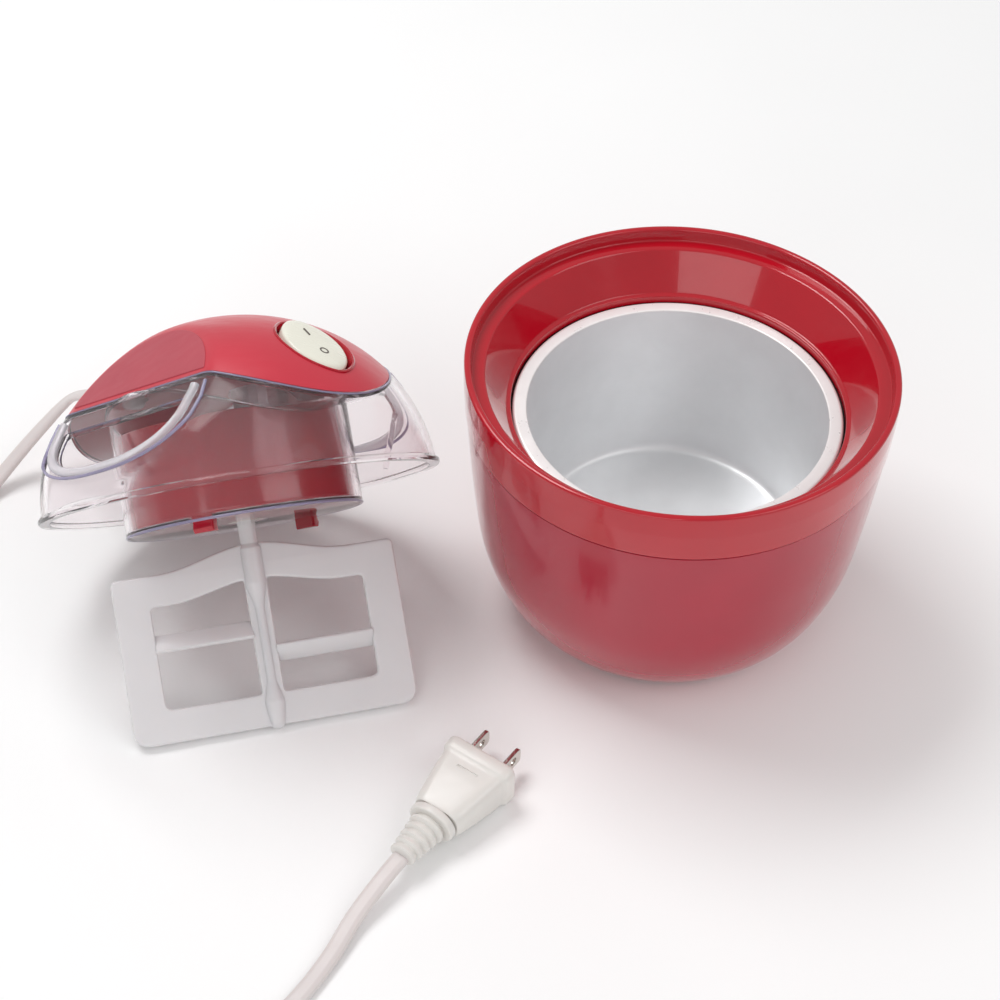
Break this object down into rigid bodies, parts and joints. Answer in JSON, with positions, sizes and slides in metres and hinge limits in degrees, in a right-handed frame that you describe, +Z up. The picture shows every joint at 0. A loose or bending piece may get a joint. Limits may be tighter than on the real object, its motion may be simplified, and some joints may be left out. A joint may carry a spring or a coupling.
{
  "type": "ice cream maker",
  "caption": "Small ice cream maker: freezer-bowl base, and a drive head with clear lid, motor unit, paddle, rocker switch and flat cord.",
  "frame": {"origin": "centre of the base's flat underside, on the table", "axes": "+Z up, +Y to the back as the object is set out, +X to the right; the drive head lies to the left of the base"},
  "size_m": [0.3944, 0.2874, 0.1181],
  "materials": {
    "red_gloss": "polished",
    "red_satin": "satin",
    "red_dark": "polished",
    "clear": "polished",
    "aluminium": "satin",
    "gel": "wet",
    "milky": "satin",
    "cream": "satin",
    "white_pvc": "satin",
    "rubber": "matte",
    "black": "matte",
    "steel": "brushed",
    "brass": "polished",
    "nylon": "satin"
  },
  "bodies": {
    "lid": {"clear_lid": "clear", "lid_well": "clear", "cord_lead": "white_pvc", "cord_coil": "white_pvc", "cord_tail": "white_pvc", "plug_relief": "white_pvc", "plug_body": "white_pvc", "plug_blade_left": "steel", "plug_blade_right": "steel"},
    "base": {"base_shell": "red_gloss", "base_collar": "red_gloss", "freezer_bowl": "aluminium", "bowl_seal": "rubber", "coolant_gel": "gel", "filler_stopper": "rubber", "base_pad": "rubber"},
    "motor_unit": {"top_cover": "red_satin", "motor_housing": "red_dark", "drive_bush": "brass", "latch_tab_front": "red_dark", "latch_tab_back": "red_dark", "gear_plate": "steel", "first_pin": "steel", "second_pin": "steel", "motor_can": "steel", "motor_magnet": "black", "motor_screw_1": "steel", "motor_screw_2": "steel", "switch_body": "black", "cord_relief": "white_pvc"},
    "paddle": {"paddle": "milky"},
    "rocker": {"rocker_button": "cream"},
    "rotor": {"motor_rotor": "steel", "motor_pinion": "brass"},
    "first_gear": {"first_wheel": "nylon"},
    "second_gear": {"second_wheel": "nylon"},
    "output_gear": {"output_wheel": "nylon"}
  },
  "joints": [
    {"name": "base_lift", "type": "slide", "parent": "lid", "child": "base", "axis": [0, 0, 1], "range_m": [0, 0.1]},
    {"name": "motor_lift", "type": "slide", "parent": "lid", "child": "motor_unit", "axis": [-0.1944, 0.7409, 0.6428], "range_m": [0, 0.045]},
    {"name": "paddle_spin", "type": "hinge", "parent": "lid", "child": "paddle", "pos_m": [-0.1458, -0.0148, 0.05229], "axis": [-0.1944, 0.7409, 0.6428], "continuous": true},
    {"name": "rocker_tilt", "type": "hinge", "parent": "motor_unit", "child": "rocker", "pos_m": [-0.12077, 0.00015, 0.10588], "axis": [-0.6618, -0.5828, 0.4716], "range_deg": [0, 12]},
    {"name": "rotor_spin", "type": "hinge", "parent": "motor_unit", "child": "rotor", "pos_m": [-0.13375, 0.00577, 0.06333], "axis": [-0.1944, 0.7409, 0.6428], "continuous": true},
    {"name": "first_gear_spin", "type": "hinge", "parent": "motor_unit", "child": "first_gear", "pos_m": [-0.14677, -0.0111, 0.05551], "axis": [-0.1944, 0.7409, 0.6428], "continuous": true},
    {"name": "second_gear_spin", "type": "hinge", "parent": "motor_unit", "child": "second_gear", "pos_m": [-0.15708, -0.02473, 0.06033], "axis": [-0.1944, 0.7409, 0.6428], "continuous": true},
    {"name": "output_gear_spin", "type": "hinge", "parent": "motor_unit", "child": "output_gear", "pos_m": [-0.14522, -0.01702, 0.05036], "axis": [-0.1944, 0.7409, 0.6428], "continuous": true}
  ],
  "couplings": [
    {"joint": "first_gear_spin", "follows": "rotor_spin", "ratio": -0.3125},
    {"joint": "second_gear_spin", "follows": "rotor_spin", "ratio": 0.097656},
    {"joint": "output_gear_spin", "follows": "rotor_spin", "ratio": -0.030518},
    {"joint": "paddle_spin", "follows": "rotor_spin", "ratio": -0.030518}
  ]
}
